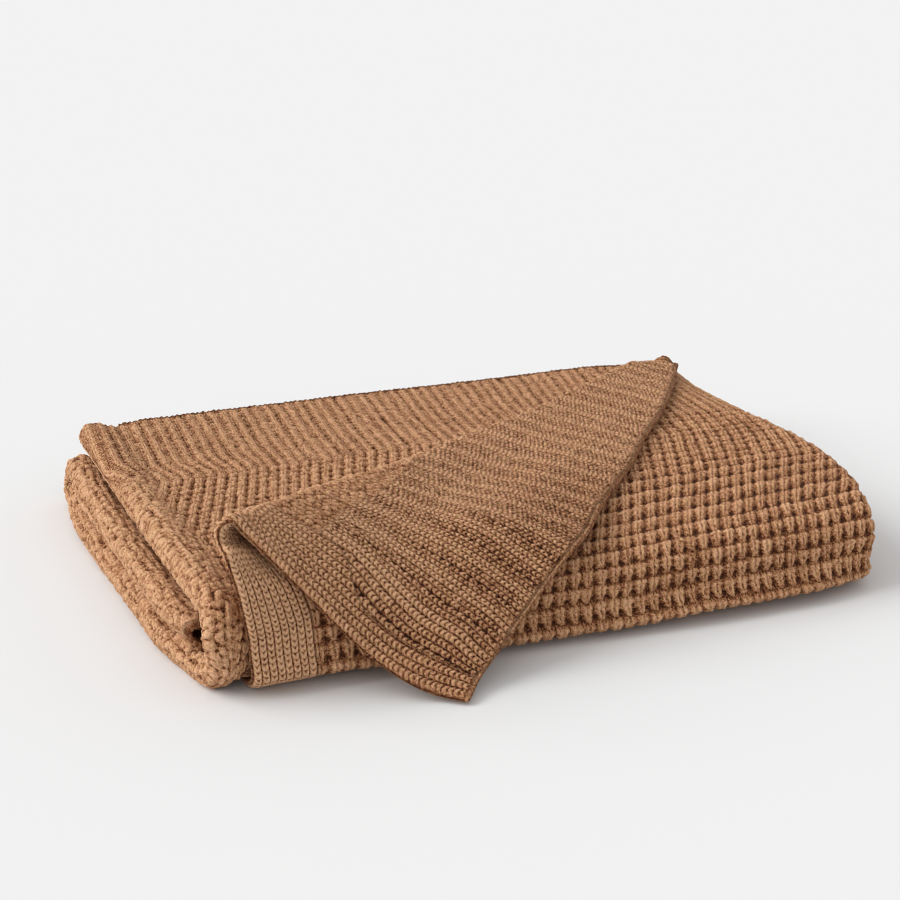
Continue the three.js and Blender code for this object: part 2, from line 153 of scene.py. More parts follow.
def lift(section, p, x, n):
    y, z, ny, nz = p[:4]
    slant = SLANT * (1 - soft((x - 250) / 230)) * soft((y - 240) / 180) if section == "top" else 0
    return np.stack(np.broadcast_arrays(x, y + slant + ny * n, z + nz * n), -1)

def outer_x(p, share):
    return SELVEDGE_X + (p[5] - SELVEDGE_X) * share

def catmull(P, t):
    """Centripetal Catmull-Rom through P at the positions t (0 to 1, even in the points)."""
    n = len(P)
    ext0, ext1 = 2 * P[0] - P[1], 2 * P[-1] - P[-2]
    Q = np.vstack([ext0, P, ext1])
    u = np.clip(t, 0, 1) * (n - 1)
    i = np.clip(np.floor(u).astype(int), 0, n - 2)
    w = (u - i)[:, None]
    p0, p1, p2, p3 = Q[i], Q[i + 1], Q[i + 2], Q[i + 3]
    d = lambda a, b: np.sqrt(np.linalg.norm(b - a, axis=1))[:, None]
    dt0, dt1, dt2 = d(p0, p1), d(p1, p2), d(p2, p3)
    m1 = ((p1 - p0) / dt0 - (p2 - p0) / (dt0 + dt1) + (p2 - p1) / dt1) * dt1
    m2 = ((p2 - p1) / dt1 - (p3 - p1) / (dt1 + dt2) + (p3 - p2) / dt2) * dt1
    c2 = -3 * p1 + 3 * p2 - 2 * m1 - m2
    c3 = 2 * p1 - 2 * p2 + m1 + m2
    return p1 + m1 * w + c2 * w * w + c3 * w ** 3

def resample(line, n):
    """n+1 points at even arc length along a dense line; also its length."""
    seg = np.linalg.norm(np.diff(line, axis=0), axis=1)
    cum = np.concatenate([[0], np.cumsum(seg)])
    want = np.linspace(0, cum[-1], n + 1)
    return np.stack([np.interp(want, cum, line[:, k]) for k in range(3)], 1), cum[-1]

def turned_dense(share):
    leave = float(read(RISE, share, 4)) / 180
    curve = []
    for ahead in (0.06, 0):
        p = place("front", leave + ahead)
        curve.append(lift("front", p, outer_x(p, share), PITCH))
    ridge, edge = point(RIDGE, share), point(END_EDGE, share)
    back, under = point(ROLL_BACK, share) + ridge, point(ROLL_UNDER, share) + ridge
    high, low, tip = ridge + (edge - ridge) * 0.34, ridge + (edge - ridge) * 0.66, ridge + (edge - ridge) * 0.85
    high[2] += read(SAG, share, 1)
    low[2] += read(SAG, share, 2)
    tip[2] += read(SAG, share, 3)
    rise = point(RISE, share)
    reach = np.hypot(back[0] - ridge[0], back[1] - ridge[1])
    r2 = np.sqrt(2)
    quarter = lambda a, b, hub: hub * (1 - r2) + a / r2 + b / r2
    upper = quarter(ridge, back, np.array([ridge[0], ridge[1], back[2]]))
    lower = quarter(back, under, np.array([under[0], under[1], back[2]]))
    unit = lambda v: v / np.linalg.norm(v)
    crest = ridge + unit(high - ridge) * reach
    foot = under + unit(rise - under) * reach
    controls = unsettle(np.array([rise, foot, under, lower, back, upper, ridge, crest, high, low, tip, edge]))
    P = np.vstack([np.array(curve), controls])
    count = len(P) - 1
    t = np.linspace(1, 1 / count, 1500)
    stops = dict(under=4 / count, ridge=8 / count, foot=3 / count, crest=9 / count)
    line = catmull(P, t)
    seg = np.concatenate([[0], np.cumsum(np.linalg.norm(np.diff(line, axis=0), axis=1))])
    at = {k: float(np.interp(-v, -t, seg)) for k, v in stops.items()}
    return line, leave, at

def lip_dense(share):
    turn, arc, tail, back = (float(read(LIP, share, c)) for c in (1, 2, 3, 4))
    turn = turn * np.pi / 180
    start = TOP_EDGE_Y - back - 0.0001
    f = (share - LIP[0, 0]) / (1 - LIP[0, 0])
    lean = np.array([-0.8, 0.6]) * (1 - f) + np.array([0, 1.0]) * f
    lean /= np.linalg.norm(lean)
    p = place("top", start)
    base = lift("top", p, outer_x(p, share), PITCH)
    d = np.linspace(arc + tail, 0, 200)
    bend = np.minimum(d, arc) * turn / arc
    if turn > 1e-6:
        r = arc / turn
        out, up = r * np.sin(bend), r * (1 - np.cos(bend))
    else:
        out, up = np.minimum(d, arc), 0 * d
    more = np.maximum(d - arc, 0)
    out, up = out + more * np.cos(turn), up + more * np.sin(turn)
    head = np.stack([base[0] + lean[0] * out, base[1] + lean[1] * out, base[2] + up], 1)
    s = np.linspace(start, FRONT_Y, 800)[1:]
    q = place("top", s)
    flat = lift("top", q, outer_x(q, share), PITCH)
    return np.vstack([head, flat]), 0.0, dict(under=arc + tail, ridge=tail, foot=arc + tail, crest=tail)


# ------------------------------------------------------------ the grid over the whole sheet
# Columns run across the cloth: outer panel, right fold, lower panel, left fold, drop,
# inner panel.  Rows run along it: top section, front fold, bottom, back fold, middle.
STRIP = 0.0905                         # share of the outer panel that is its side border
N_STRIP, N_REST = 56, 440
NO, NR, NW, NL, ND, NI = N_STRIP + N_REST, 24, 48, 24, 24, 440
CO, CR, CW, CL, CD, CI = NO, NO + NR, NO + NR + NW, NO + NR + NW + NL, NO + NR + NW + NL + ND, NO + NR + NW + NL + ND + NI
NT, NF, NB, NK, NM = 336, 88, 240, 40, 240
RT, RF, RB, RK, RM = NT, NT + NF, NT + NF + NB, NT + NF + NB + NK, NT + NF + NB + NK + NM
SHARES = np.concatenate([np.linspace(0, STRIP, N_STRIP + 1)[:-1], np.linspace(STRIP, 1, N_REST + 1)])
NX, NY = CI + 1, RM + 1


def plain_rows():
    """Section and place of each row past the top section."""
    return [
        ("front", np.linspace(0, 1, NF + 1)[1:]),
        ("bottom", np.linspace(FRONT_Y, BACK_Y, NB + 1)[1:]),
        ("back", np.linspace(0, 1, NK + 1)[1:]),
        ("middle", np.linspace(BACK_Y, MID_EDGE_Y, NM + 1)[1:]),
    ]


def middle_surface():
    grid = np.zeros((NX, NY, 3))
    # outer panel
    for i, share in enumerate(SHARES):
        dense, leave, at = turned_dense(share) if share <= LIP[0, 0] else lip_dense(share)
        grid[i, : NT + 1], length = resample(dense, NT)
        under_at[i], ridge_at[i] = at["under"] / length * NT, at["ridge"] / length * NT
        j = NT + 1
        for section, s in plain_rows():
            s = leave + (1 - leave) * s if section == "front" else s
            p = place(section, s)
            grid[i, j : j + len(s)] = lift(section, p, outer_x(p, share), PITCH)
            j += len(s)
    # past the turned corner the columns run evenly on to the right fold
    first = int(np.searchsorted(SHARES, 0.86))
    w = soft((np.arange(NT + 1) - 80) / 30)[:, None]
    for i in range(first + 1, NO):
        t = (SHARES[i] - SHARES[first]) / (1 - SHARES[first])
        even = grid[first, : NT + 1] * (1 - t) + grid[NO, : NT + 1] * t
        grid[i, : NT + 1] = grid[i, : NT + 1] * (1 - w) + even * w
    # the rest, where every column is plain.  Rows of the top section go from those of the
    # outer panel's last column to even ones
    own = grid[NO, : NT + 1, 1].copy()
    even = np.linspace(TOP_EDGE_Y, FRONT_Y, NT + 1)
    across = []
    for k in range(1, NR + 1):
        a = math.pi * k / NR
        across.append((lambda p, a=a: (p[5] + PITCH * math.sin(a), PITCH * math.cos(a)), 0))
    for k in range(1, NW + 1):
        t = k / NW
        across.append((lambda p, t=t: (p[5] + (p[4] - p[5]) * t, -PITCH), t))
    for k in range(1, NL + 1):
        a = math.pi * k / NL
        across.append((lambda p, a=a: (p[4] - PITCH * math.sin(a), -PITCH * math.cos(a)), 1))
    for k in range(1, ND + 1):
        t = k / ND
        across.append((lambda p, t=t: (p[4] + SCURVE * t, PITCH * (1 - soft(t))), 1))
    for k in range(1, NI + 1):
        t = k / NI
        across.append((lambda p, t=t: (p[4] + SCURVE + (p[5] - 5 - p[4] - SCURVE) * t, 0.0), 1))
    for k, (where, spread) in enumerate(across):
        i = NO + 1 + k
        top = own + (even - own) * spread
        p = place("top", top)
        x, n = where(p)
        grid[i, : NT + 1] = lift("top", p, x, n)
        j = NT + 1
        for section, s in plain_rows():
            p = place(section, s)
            x, n = where(p)
            grid[i, j : j + len(s)] = lift(section, p, x, n)
            j += len(s)
    return grid


def normals(grid):
    di = np.empty_like(grid)
    di[1:-1], di[0], di[-1] = grid[2:] - grid[:-2], grid[1] - grid[0], grid[-1] - grid[-2]
    dj = np.empty_like(grid)
    dj[:, 1:-1], dj[:, 0], dj[:, -1] = grid[:, :-2] - grid[:, 2:], grid[:, 0] - grid[:, 1], grid[:, -2] - grid[:, -1]
    n = np.cross(di, dj)
    return n / np.maximum(np.linalg.norm(n, axis=-1, keepdims=True), 1e-9)


under_at, ridge_at = np.zeros(NO + 1), np.zeros(NO + 1)
MID = middle_surface()


def back_corner(grid):
    """The back right corner of the bundle sinks and the top layer's edge there draws
    forward, while the tip of the turned corner keeps its height."""
    x, y, z = grid[..., 0].copy(), grid[..., 1].copy(), grid[..., 2].copy()
    stays = np.zeros((NX, NY))
    past_ridge = soft((np.arange(NT + 1)[None, :] - ridge_at[:, None]) / np.maximum(under_at - ridge_at, 1)[:, None])
    loose = 1 - soft((SHARES[:, None] - 0.965) / 0.03)
    stays[: NO + 1, : NT + 1] = (1 - past_ridge) * loose
    sink = soft((x - 562) / 38) * soft((y - 130) / 200) * np.clip(z / 66, 0, 1)
    grid[..., 2] -= 8.0 * sink * (1 - stays)
    top = np.zeros((NX, NY))
    top[: NO + 1, : NT + 1] = 1
    top[NO + 1 : CR + 1, : NT + 1] = (1 - np.arange(1, NR + 1) / NR)[:, None]
    grid[..., 1] -= 20 * top * soft((x - 545) / 40) * soft((y - 330) / 90)
    grid[..., 0] -= 3.5 * stays * soft((x - 575) / 14)
    lip = np.zeros((NX, NY))
    folded = 1 - soft((np.arange(NT + 1)[None, :] - under_at[:, None]) / 10)
    lip[: NO + 1, : NT + 1] = (0.4 * (1 - past_ridge) + 0.6 * folded) * soft((SHARES[:, None] - 0.966) / 0.022)
    grid[..., 2] -= 3.6 * lip
    tip = np.zeros((NX, NY))
    tip[: NO + 1, : NT + 1] = (1 - past_ridge) * np.exp(-(((SHARES[:, None] - 0.958) / 0.02) ** 2))
    grid[..., 2] += 1.0 * tip * soft((x - 570) / 16)


back_corner(MID)
NORMAL = normals(MID)
SEEN = ease(settle(MID))               # the middle of the cloth as it lies
step = np.linalg.norm(np.diff(SEEN, axis=1), axis=-1)
FROM_EDGE = np.concatenate([np.zeros((NX, 1)), np.cumsum(step, axis=1)], 1)      # along each column, from its end edge
TO_FRONT = FROM_EDGE[:, RF : RF + 1] - FROM_EDGE                                 # to the end of the front fold
column = np.arange(NX)[:, None] + np.zeros((1, NY))
rowno = np.arange(NY)[None, :] + np.zeros((NX, 1))

# ------------------------------------------------------------ stitches
rng = np.random.default_rng(7)
LUMPS = rng.normal(0, 1, (64, 64))


def lump(u, v, seed=0):
    """A smooth uneven value for each place, with one lump to each unit."""
    u, v = u + 17.3 * seed, v + 9.7 * seed
    i, j = np.floor(u).astype(int), np.floor(v).astype(int)
    a, b = soft(u - i), soft(v - j)
    g = lambda p, q: LUMPS[p % 64, q % 64]
    return (g(i, j) * (1 - a) + g(i + 1, j) * a) * (1 - b) + (g(i, j + 1) * (1 - a) + g(i + 1, j + 1) * a) * b


def each(u, v, seed=0):
    """One uneven value for each whole stitch."""
    return LUMPS[(np.floor(u).astype(int) + 5 * seed) % 64, (np.floor(v).astype(int) + 11 * seed) % 64]


def dome(d):
    return np.sqrt(np.clip(1 - d * d, 0, 1))


def strand(x, y, x0, y0, x1, y1, rx, ry):
    """How high a round strand stands at x, y, between two ends; 0 outside it."""
    ax, ay, bx, by = x / rx, y / ry, x0 / rx, y0 / ry
    ex, ey = (x1 - x0) / rx, (y1 - y0) / ry
    t = np.clip(((ax - bx) * ex + (ay - by) * ey) / (ex * ex + ey * ey), 0, 1)
    return dome(np.hypot(ax - bx - ex * t, ay - by - ey * t)), t


def fract(v):
    return v - np.floor(v)


def band(phase):
    """Strands that lie one to each whole phase: 1 on a strand, 0 between two."""
    return np.abs(np.sin(np.pi * phase)) ** 0.8


def waffle(cu, cv, rough=1.0, opened=0.0):
    """Right side of the textured body.  Each cell has a head of two lobes and two legs,
    which close round a small dark place or stand open; slanting links join the heads of
    neighbours, and a hole lies between their feet, above the row line."""
    full = 1 + 0.10 * rough * each(cu, cv, 1)
    x = fract(cu) - 0.5 + 0.035 * rough * each(cu, cv, 2)
    a = np.abs(x)
    xb = fract(cu + 0.5) - 0.5
    y = fract(cv) + 0.03 * rough * each(cu, cv, 4)
    head = 3.3 * strand(a, y, 0.16, 0.19, 0.24, 0.23, 0.175, 0.18)[0]
    leg = 2.95 * strand(a, y, 0.17, 0.33, 0.17, 0.60, 0.17, 0.15)[0]
    foot = 2.6 * strand(a, y, 0.16, 0.60, 0.07 + 0.07 * opened, 0.88, 0.16, 0.13)[0]
    yoke = 2.5 * strand(a, y, 0.0, 0.32, 0.14, 0.32, 0.12, 0.11)[0]
    upper = 2.45 * strand(xb, y, -0.24, 0.27, 0.24, 0.17, 0.15, 0.13)[0]
    lower = 1.75 * strand(xb, y, -0.20, 0.57, 0.20, 0.51, 0.12, 0.09)[0]
    heart = np.exp(-((x / 0.065) ** 2) - (((y - 0.64) / 0.085) ** 2))
    hole = np.exp(-((xb / 0.23) ** 2) - (((y - 0.79) / 0.15) ** 2))
    side = np.exp(-((xb / 0.10) ** 2) - (((y - 0.46) / 0.07) ** 2))
    pillow = dome(np.hypot(x / 0.56, (y - 0.46) / 0.60))
    line = np.exp(-(((np.abs(y - 0.5) - 0.5) / 0.05) ** 2))
    low = 1.35 - 1.0 * heart - 1.3 * hole - 0.8 * side - 0.3 * line
    h = np.maximum.reduce([head, leg, foot, yoke, upper, lower, low])
    return h * full * (0.62 + 0.42 * pillow) - 0.8 * hole - 0.35 * heart - 0.1 * line - 0.2 * side


def stocking(w, c):
    """Right side of the side border: columns of nested V stitches."""
    x = np.abs(fract(w) - 0.5)
    strands = band(c + 1.3 * x)
    leg = dome((x - 0.25) / 0.28) ** 0.8
    pit = np.exp(-((x / 0.07) ** 2)) * (1 - strands)
    line = np.exp(-(((0.5 - x) / 0.05) ** 2))
    return 0.55 + 2.4 * leg * (0.60 + 0.40 * strands) - 0.6 * pit - 0.5 * line


def ribs(q, c):
    """Right side of the end border: ridges with knobbly grooves between, every third
    groove a row of holes."""
    x = fract(q) - 0.5
    a = np.abs(x)
    ridge = dome(a / 0.26) ** 0.7 * (2.45 + 0.45 * band(c + 1.3 * a))
    k = np.rint(q)
    dash = np.clip(0.5 + 0.9 * np.cos(np.pi * c), 0, 1)
    knob = np.cos(2 * np.pi * (c + 0.37 * k)) + 0.6 * np.cos(2 * np.pi * 1.5 * c + 2.1 * k) + 0.5 * each(q + 0.5, c, 6)
    groove = 1.78 + 0.46 * knob
    groove = groove - np.exp(-(((q - k) / 0.12) ** 2)) * np.where(k % 3 == 0, 1.6 * dash, 0.2)
    groove = groove - 0.45 * np.exp(-(((a - 0.29) / 0.035) ** 2))
    return np.maximum(np.where(a < 0.26, ridge, 0), groove)


def purl(w, c):
    """Wrong side of the side border: columns of small arcs."""
    x = fract(w) - 0.5
    arc = band(c + 2.6 * x * x)
    return 1.0 + (0.45 + 1.45 * arc) * dome(x / 0.60)


def lace(q, c):
    """Wrong side of the end border: [holes][two columns][ridge of stacked arcs][two columns]."""
    x = fract(q) - 0.5
    a = np.abs(x)
    k = np.floor(q)
    xr = np.clip(a / 0.18, 0, 1) - 0.5
    arcs = band(c + 2.6 * xr * xr)
    pit = np.exp(-((x / 0.03) ** 2)) * (1 - band(c + 0.5))
    ridge = np.where(a < 0.18, 1.1 + dome(a / 0.19) * 0.6 + dome(xr / 0.60) * (0.45 + 1.15 * arcs) - 1.1 * pit, 0)
    n = np.clip(np.floor((a - 0.18) / 0.16), 0, 1)
    xs = (a - 0.18) / 0.16 - n - 0.5
    loops_ = band(c + side_phase(x) + 2.6 * xs * xs)
    side = 0.9 + dome(xs / 0.58) * (0.55 + 1.15 * loops_) + 0.35 * lump(q * 9.3 + 31, c * 1.3, 4)
    side = np.where(a > 0.18, side, 0)
    dash = np.clip(0.30 + 0.95 * np.cos(np.pi * (c + 0.31 * k)), 0, 1)
    hole = np.exp(-(((a - 0.5) / 0.05) ** 2)) * dash
    return np.maximum(np.maximum(ridge, side), 0.3) - 1.8 * hole


def side_phase(x):
    """How far the strands of each column beside a ridge are shifted from its own."""
    n = np.clip(np.floor((np.abs(x) - 0.18) / 0.16), 0, 1)
    return np.where(np.abs(x) > 0.18, 0.45 + 0.5 * n + np.where(x > 0, 0.25, 0.0), 0.0)


def knobs(u, v, seed=0):
    """Crowded curls of yarn, one to each unit, with deep gaps between."""
    v = v + 0.5 * (np.floor(u) % 2)
    x = fract(u) - 0.5 + 0.10 * each(u, v, 21 + seed)
    y = fract(v) - 0.5 + 0.10 * each(u, v, 23 + seed)
    turn = each(u, v, 25 + seed)
    x, y = x + 0.35 * turn * y, y - 0.25 * turn * x
    r = np.hypot(x / 0.50, y / 0.52)
    curl = dome(r) ** 0.8 - 0.35 * np.exp(-((r / 0.25) ** 2)) * (turn > 0.2)
    return 0.1 + 3.1 * curl * (1 + 0.13 * turn)


def waffle_back(cu, cv):
    """Wrong side of the textured body: rows of knobs, four to a cell, with dark places between."""
    xs = fract(2 * cu) - 0.5 + 0.06 * each(2 * cu, 2 * cv, 7)
    half = np.floor(2 * cu)
    yv = 2 * cv + 0.5 * (half % 2)
    ys = fract(yv) - 0.5 + 0.06 * each(2 * cu, yv, 8)
    knob = dome(np.hypot(xs / 0.56, ys / 0.60)) ** 0.8
    x, y = fract(cu) - 0.5, fract(cv) - 0.5
    spot = np.exp(-((x / 0.10) ** 2) - (((y - 0.02) / 0.10) ** 2))
    h = 0.35 + knob * (2.25 + 0.35 * each(2 * cu, yv, 9)) + 0.30 * np.cos(2 * np.pi * y)
    return h - 1.2 * spot


def blend(a, b, w):
    return a * (1 - w) + b * w


# row lines of the body on the front, as distance from the end of the front fold
ROW_AT = np.array([-400, -12, 2, 15.5, 32.7, 46.7, 57.8, 70.5, 84.5, 100.5, 120, 140, 160.5, 180, 198.5, 213, 226, 239, 251.5, 264, 276, 288, 301, 314, 327, 500.0])
ROW_NO = np.array([-34.2, -2, -1, 0, 1, 2, 3, 4, 5, 6, 7, 8, 9, 10, 11, 12, 13, 14, 15, 16, 17, 18, 19, 20, 21, 35.0])
CELL = 12.07                          # width of a cell across the outer panel, by its share of 560 mm
LACE = 27.0                           # width of the end border's repeat on the wrong side
COURSE = 4.25                         # height of one stitch


def relief():
    right, wrong = np.full((NX, NY), 1.3), np.full((NX, NY), 1.3)
    # wales and courses on each side, and how plainly each single stitch shows
    stitch = {k: np.zeros((NX, NY)) for k in ("rw", "rc", "ww", "wc", "rs", "ws")}
    # ---- outer panel and right fold, right side
    o = slice(0, CR + 1)
    share = np.concatenate([SHARES, 1 + np.arange(1, NR + 1) / NR * 34 / 560])[:, None] + np.zeros((1, NY))
    d = TO_FRONT[o].copy()
    d[NO + 1 :] = d[NO]                                  # rows run straight round the right fold
    d = d - 48 * (share - 0.755) * np.exp(-(((d - 140) / 55) ** 2)) * soft((share - 0.3) / 0.2)
    shift = np.interp(d, [-500, 40, 100, 180, 270, 320, 600], [0, 0, 13, 49, 76, 84, 84])
    across = (560 * share - shift * soft((share - 0.12) / 0.3)) / CELL
    rows = np.interp(d, ROW_AT, ROW_NO)
    body = waffle(across, -rows, 1.0, soft((d - 60) / 60))
    border = ribs(across, d / COURSE)
    side = stocking(share / (STRIP / 8), -d / COURSE)
    end = soft((d - 318) / 5)
    h = blend(body, border, end)
    inner = soft((share - STRIP) / 0.002)
    right[o] = blend(side, h, inner)
    stitch["rw"][o] = np.where(inner > 0.5, 2 * across, share / (STRIP / 8))
    stitch["rc"][o] = np.where(inner > 0.5, np.where(end < 0.5, -3 * rows, d / COURSE), -d / COURSE)
    stitch["rs"][o] = blend(1.0, blend(0.28, 0.55, end), inner)
    # ---- outer panel, wrong side
    share_o = share[: NO + 1]
    a = FROM_EDGE[: NO + 1]
    u = 680 * share_o - np.interp(a, [0, 130, 600], [0, 0.26 * 130, 0.26 * 130]) * soft(share_o / 0.12) * (1 + 0.4 * soft((share_o - 0.4) / 0.2))
    q = (u - 25) / LACE
    h_end = lace(q, a / COURSE)
    cu, cv = (u - 4) / 10.6, (a + 22 * np.sin(share_o * 5)) / 13.6
    h_body = waffle_back(cu, cv)
    h_side = purl(share_o / (STRIP / 8), a / COURSE)
    where = soft((a - 156) / 6)
    h = blend(h_end, h_body, where)
    edge_w = 1 - soft((share_o - STRIP * (0.36 + 0.64 * soft((a - 90) / 60))) / 0.006)
    wrong[: NO + 1] = blend(h, h_side, edge_w)
    xq = fract(q) - 0.5
    fold_w = np.floor(q) * 6 + np.where(np.abs(xq) < 0.18, xq / 0.18, np.sign(xq) * (1.0 + (np.abs(xq) - 0.18) / 0.16))
    ww = np.where(where > 0.5, 2 * cu, fold_w)
    stitch["ww"][: NO + 1] = np.where(edge_w > 0.5, share_o / (STRIP / 8), ww)
    stitch["wc"][: NO + 1] = np.where(edge_w < 0.5, np.where(where > 0.5, 3 * cv, a / COURSE + side_phase(xq)), a / COURSE)
    stitch["ws"][: NO + 1] = blend(blend(0.95, 0.25, where), 0.8, edge_w)
    # ---- lower panel, left fold, drop and inner panel, right side
    i = slice(CR, NX)
    k = column[i]
    u2 = np.interp(k, [CR, CW, CL, CD, CI], [-560, 0, 25, 51, 594])
    v = FROM_EDGE[i].copy()
    v[CW - CR :] = v[CD - CR]                            # rows run straight round the left fold
    rib = u2 + 0.068 * v - 12 * soft((v - 112) / 46) * (1 - soft((u2 - 70) / 130))
    lean = np.where(v > 162, 0.30 * np.minimum(v - 162, 130), 0)
    cell = (rib + lean - 68.7) / 10.43
    row = np.interp(v, [0, 162, 300, 2000], [0, 0, 12.2, 12.2 + 1700 / 13.0])
    body = waffle(cell, row, 1 + 0.8 * (1 - soft((u2 - 30) / 30)))
    border = ribs((rib - 68.7) / 10.43, v / COURSE)
    # round the left fold the cells are crowded and knobbly
    crowd = 1 - soft((u2 - 26) / 30)
    curls = np.maximum(knobs(u2 / 7.4 + 0.25 * lump(u2 / 9, v / 11, 12), v / 6.6), 0.75 * knobs(u2 / 5.1 + 0.4, v / 4.7, 5))
    body = blend(body, 1.04 * curls + 0.14 * body - 0.22, crowd)
    on = soft((v - 160) / 5)
    h = blend(border, body, on)
    # round the left fold of the end border the ridges flatten to plain columns
    flat_w = (1 - soft((u2 - 9) / 3)) * (1 - on)
    h = blend(h, stocking(u2 / 5.2, v / COURSE), flat_w)
    # the inner panel ends in its own side border
    edge = soft((u2 - (594 - 46)) / 1.5)
    right[CR:] = blend(h, stocking((594 - u2) / 5.8, v / COURSE), edge)
    w2 = np.where(on > 0.5, 2 * cell, 2 * (rib - 68.7) / 10.43)
    w2 = np.where(flat_w > 0.5, u2 / 5.2, w2)
    stitch["rw"][CR:] = np.where(edge > 0.5, (594 - u2) / 5.8, w2)
    stitch["rc"][CR:] = np.where((on > 0.5) & (edge < 0.5), 3 * row, v / COURSE)
    stitch["rs"][CR:] = blend(blend(0.55, 0.9, flat_w), 0.28, on)
    stitch["ws"][CR:] = 0.5
    # ---- wrong side of the rest
    wrong[CR:] = waffle_back(u2 / 10.6, v / 13.6)
    wrong[NO + 1 : CR] = wrong[NO]
    stitch["ww"][CR:], stitch["wc"][CR:] = u2 / 5.3, v / 4.5
    stitch["ww"][NO + 1 : CR], stitch["wc"][NO + 1 : CR] = stitch["ww"][NO], stitch["wc"][NO]
    # the colour starts from the relief height: lower places (the holes, gaps and grooves) get a darker colour, which
    # is painted shade in the recesses
    tones = [right.copy(), wrong.copy()]
    # the side border is painted lighter and with more contrast, painted light where the turned corner above it shades
    # it; the textured body a touch lighter
    tones[0][o] += (0.85 + 0.3 * (tones[0][o] - 2.0)) * (1 - inner) + 0.16 * inner
    # the wrong side of the turned corner is painted darker near its end edge, where it comes down to the floor:
    # painted shade near the ground
    tones[1][: NO + 1] -= 0.55 * (1 - soft((a - 20) / 90)) * (1 - soft((share_o - 0.30) / 0.25))
    tones[0][CR:] += 0.22 + 0.25 * on - 0.1 * crowd
    tones[1][: NO + 1] += 0.25 * where
    # ---- the chain of stitches along both end edges, and the drawn-in side edges
    for edge_at in (FROM_EDGE, FROM_EDGE[:, -1:] - FROM_EDGE):
        along = np.concatenate([680 * SHARES, 680 + np.arange(1, NX - NO) * 1.25])[:, None] + 0 * edge_at
        links = 0.5 + 0.5 * np.cos(2 * np.pi * (along / 5.0 + 0.25 * edge_at / 3))
        chain = 0.35 + 1.1 * links
        w = 1 - soft((edge_at - 1.4) / 1.2)
        groove = 0.0 * edge_at
        right = blend(right, chain, w) - groove
        wrong = blend(wrong, chain, w) - groove
        tones = [blend(t, 2.0 + 0.7 * links, w) - groove for t in tones]
        for side in "rw":
            stitch[side + "w"] = np.where(w > 0.5, edge_at / 2.4, stitch[side + "w"])
            stitch[side + "c"] = np.where(w > 0.5, along / 5.0, stitch[side + "c"])
            stitch[side + "s"] = np.where(w > 0.5, 0.7, stitch[side + "s"])
    for side_at in (680 * SHARES[:, None], None):
        if side_at is None:
            side_at, zone_ = (CI - column[CD:]) * 1.25, slice(CD, NX)
        else:
            zone_ = slice(0, NO + 1)
        thin = np.exp(-((side_at / 1.8) ** 2)) + 0 * right[zone_]
        right[zone_] = right[zone_] * (1 - thin) - 0.6 * thin
        wrong[zone_] = wrong[zone_] * (1 - thin) - 0.6 * thin
    grain = rng.normal(0, 1, (NX, NY))
    grain = 0.5 * grain + 0.25 * (np.roll(grain, 1, 0) + np.roll(grain, 1, 1))
    flat_on = np.zeros((NX, NY))
    flat_on[CL:, :RT] = 1
    flat_on[CL:, RT - 60 : RT] *= 1 - soft(np.arange(60) / 60)
    grain = grain * (1 - flat_on) + flat_on * 0.62 * (grain + np.roll(grain, 1, 1) + np.roll(grain, -1, 1))
    uneven = 0.18 * grain + 0.14 * lump(column / 2.1, rowno / 2.1, 1) + 0.20 * lump(column / 7, rowno / 7, 2)
    tones = [tones[0] + 0.55 * grain, tones[1] + 0.38 * grain]
    # the inner panel's end edge along the back carries a chain of beads; its colour is set dark, painted shade on the
    # edge turned away from the light
    beads = 0.5 + 0.5 * np.cos(2 * np.pi * np.arange(NX - CD) * 1.25 / 5.0)
    tones[0][CD:, :3] = 0.45 + 0.7 * beads[:, None]
    right[CD:, :3] = 2.5 + 0.9 * beads[:, None]
    return right + uneven + 0.10 * grain, wrong + uneven, stitch, tones


BASE = HALF - 1.55                    # where the relief starts, off the middle of the cloth
RIGHT, WRONG, STITCH, TONE = relief()


# ------------------------------------------------------------ how fine each tile is
# A tile is 8 by 8 grid steps.  Each face of each tile is cut 1, 2, 4 or 8 steps wide, by
# how well it is seen; hidden layers stay coarse.
TX, TY = CI // 8, RM // 8
ti, tj = np.meshgrid(np.arange(TX) * 8 + 4, np.arange(TY) * 8 + 4, indexing="ij")
FINE = {0: np.full((TX, TY), 8), 1: np.full((TX, TY), 8)}


def tiles(side, i0, i1, j0, j1, size, where=None):
    zone = (ti > i0) & (ti < i1) & (tj > j0) & (tj < j1)
    if where is not None:
        zone &= where
    FINE[side][zone] = size


at_tile = SEEN[ti, tj]
edge_line = SEEN[: NO + 1, 0]
inside_o = np.clip(ti, 0, NO)
past = tj - under_at[inside_o]                       # rows past the underside of the roll
order = np.argsort(edge_line[:, 1])
edge_x = np.interp(at_tile[..., 1], edge_line[order, 1], edge_line[order, 0])
ridge_x = np.interp(at_tile[..., 1], RIDGE[:, 2], RIDGE[:, 1])
tiles(1, 0, NO, 0, RT, 4)
tiles(1, 0, NO, 0, RT, 1, past < 14)
tiles(1, 0, 150, 0, RT, 2, past >= 14)
tiles(0, 0, NO, 0, RT, 2, (ti < 130))
tiles(0, 0, NO, 0, RT, 1, (past > -30) & ((ti < 100) | (at_tile[..., 0] > edge_x - 26)))
tiles(0, NO - 40, NO, 0, RT, 1)
tiles(0, 0, NO, RT - 24, RF, 1)
tiles(0, 0, NO, RB, RK, 1)
tiles(0, 0, 8, RF, RM, 2)
tiles(1, 0, 8, RF, RM, 4)
tiles(0, NO, CR, 0, RM, 1)
tiles(0, CW, CL, 0, RM, 1)
tiles(0, CL, CD, 0, RM, 1)
tiles(0, CL, CD, RF, RB, 2)
tiles(0, CD, CI, 0, RT, 1, at_tile[..., 0] < ridge_x + 40)
tiles(0, 0, NX, 0, 8, 1)                             # end edge of the top section
tiles(1, 0, NX, 0, 8, 2)
tiles(0, 0, NX, RM - 8, RM, 4)

EDGE_ROUND = 1.1                                     # how far an edge of the cloth bulges


